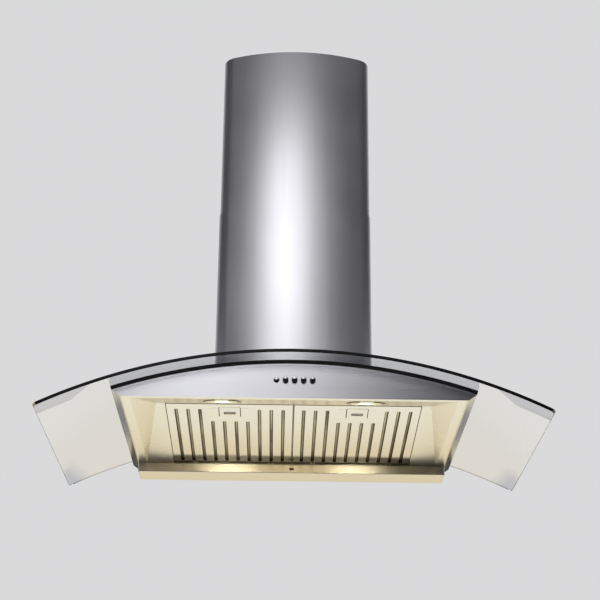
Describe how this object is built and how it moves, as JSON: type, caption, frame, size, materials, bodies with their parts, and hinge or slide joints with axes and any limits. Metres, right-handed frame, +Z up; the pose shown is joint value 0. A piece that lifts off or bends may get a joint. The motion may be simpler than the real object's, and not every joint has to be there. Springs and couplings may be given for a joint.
{
  "type": "range hood",
  "caption": "Wall-mounted range hood with an arched glass canopy, a telescopic chimney, slotted drop-down filters, lamps and push buttons.",
  "frame": {"origin": "middle of the four wall bolt holes, in the plane of the wall", "axes": "+X to the right when facing the hood, +Y into the wall, +Z up"},
  "size_m": [0.9, 0.5, 0.8701],
  "materials": {
    "brushed_stainless": "brushed",
    "galvanised_sheet": "satin",
    "clear_glass": "polished",
    "lamp_glass": "frosted",
    "black_rubber": "matte",
    "black_plastic": "matte",
    "grey_plastic": "matte",
    "bright_chrome": "polished",
    "cast_aluminium": "satin",
    "bright_screws": "plated"
  },
  "bodies": {
    "hood_body": {"wall_bracket": "galvanised_sheet", "bracket_screws": "bright_screws", "body_casing": "brushed_stainless", "front_fascia": "brushed_stainless", "underside_pan": "brushed_stainless", "pan_screws": "bright_screws", "pan_blocks": "galvanised_sheet", "filter_rail": "galvanised_sheet", "glass_canopy": "clear_glass", "glass_gasket": "black_rubber", "glass_clamps": "galvanised_sheet", "glass_screws": "bright_screws", "glass_grommets": "black_rubber", "blower_box": "galvanised_sheet", "blower_scroll": "black_plastic", "inlet_rings": "black_plastic", "blower_motor": "cast_aluminium", "motor_bracket": "galvanised_sheet", "run_capacitor": "grey_plastic", "outlet_adapter": "black_plastic", "outlet_collar": "black_plastic", "chimney_lower": "brushed_stainless", "lower_chimney_tabs": "galvanised_sheet", "lower_chimney_screws": "bright_screws", "terminal_box": "grey_plastic", "cable_gland": "black_plastic", "lamp_driver": "grey_plastic", "switch_housing": "black_plastic", "trough_clips": "bright_screws", "left_lamp_bezel": "bright_chrome", "left_lamp_lens": "lamp_glass", "left_lamp_housing": "cast_aluminium", "left_lamp_board": "grey_plastic", "right_lamp_bezel": "bright_chrome", "right_lamp_lens": "lamp_glass", "right_lamp_housing": "cast_aluminium", "right_lamp_board": "grey_plastic"},
    "impeller": {"impeller": "grey_plastic", "motor_shaft": "bright_screws"},
    "damper_rear": {"damper_flap_rear": "black_plastic"},
    "damper_front": {"damper_flap_front": "black_plastic"},
    "chimney_upper": {"chimney_upper": "brushed_stainless", "chimney_bracket": "galvanised_sheet", "upper_chimney_screws": "bright_screws"},
    "grease_trough": {"grease_trough": "brushed_stainless"},
    "left_filter": {"left_filter_face": "brushed_stainless", "left_filter_frame": "brushed_stainless", "left_filter_baffle": "cast_aluminium"},
    "left_latch": {"left_latch": "brushed_stainless", "left_latch_spring": "bright_screws"},
    "right_filter": {"right_filter_face": "brushed_stainless", "right_filter_frame": "brushed_stainless", "right_filter_baffle": "cast_aluminium"},
    "right_latch": {"right_latch": "brushed_stainless", "right_latch_spring": "bright_screws"},
    "button_1": {"button_1": "bright_chrome"},
    "button_2": {"button_2": "bright_chrome"},
    "button_3": {"button_3": "bright_chrome"},
    "button_4": {"button_4": "bright_chrome"},
    "button_5": {"button_5": "bright_chrome"}
  },
  "joints": [
    {"name": "chimney_slide", "type": "slide", "parent": "hood_body", "child": "chimney_upper", "axis": [0, 0, 1], "range_m": [-0.28, 0.045]},
    {"name": "impeller_spin", "type": "hinge", "parent": "hood_body", "child": "impeller", "pos_m": [0, -0.116, -0.188], "axis": [1, 0, 0], "continuous": true},
    {"name": "damper_rear_hinge", "type": "hinge", "parent": "hood_body", "child": "damper_rear", "pos_m": [0, -0.1005, -0.008], "axis": [1, 0, 0], "range_deg": [0, 75]},
    {"name": "damper_front_hinge", "type": "hinge", "parent": "hood_body", "child": "damper_front", "pos_m": [0, -0.1075, -0.008], "axis": [-1, 0, 0], "range_deg": [0, 75]},
    {"name": "trough_release", "type": "slide", "parent": "hood_body", "child": "grease_trough", "axis": [0, 0, -1], "range_m": [0, 0.08]},
    {"name": "left_filter_drop", "type": "hinge", "parent": "hood_body", "child": "left_filter", "pos_m": [0, -0.06617, -0.34358], "axis": [1, 0, 0], "range_deg": [0, 60], "deforming": ["left_latch_spring"]},
    {"name": "left_latch_slide", "type": "slide", "parent": "left_filter", "child": "left_latch", "axis": [0, 0.9969, -0.0791], "range_m": [0, 0.006], "stiffness_N_per_m": 400, "springref_m": -0.004},
    {"name": "right_filter_drop", "type": "hinge", "parent": "hood_body", "child": "right_filter", "pos_m": [0, -0.06617, -0.34358], "axis": [1, 0, 0], "range_deg": [0, 60], "deforming": ["right_latch_spring"]},
    {"name": "right_latch_slide", "type": "slide", "parent": "right_filter", "child": "right_latch", "axis": [0, 0.9969, -0.0791], "range_m": [0, 0.006], "stiffness_N_per_m": 400, "springref_m": -0.004},
    {"name": "button_1_press", "type": "slide", "parent": "hood_body", "child": "button_1", "axis": [0, 1, 0], "range_m": [-0.005, 0]},
    {"name": "button_2_press", "type": "slide", "parent": "hood_body", "child": "button_2", "axis": [0, 1, 0], "range_m": [0, 0.005], "stiffness_N_per_m": 300, "springref_m": -0.002},
    {"name": "button_3_press", "type": "slide", "parent": "hood_body", "child": "button_3", "axis": [0, 1, 0], "range_m": [0, 0.005], "stiffness_N_per_m": 300, "springref_m": -0.002},
    {"name": "button_4_press", "type": "slide", "parent": "hood_body", "child": "button_4", "axis": [0, 1, 0], "range_m": [0, 0.005], "stiffness_N_per_m": 300, "springref_m": -0.002},
    {"name": "button_5_press", "type": "slide", "parent": "hood_body", "child": "button_5", "axis": [0, 1, 0], "range_m": [0, 0.005], "stiffness_N_per_m": 300, "springref_m": -0.002}
  ]
}
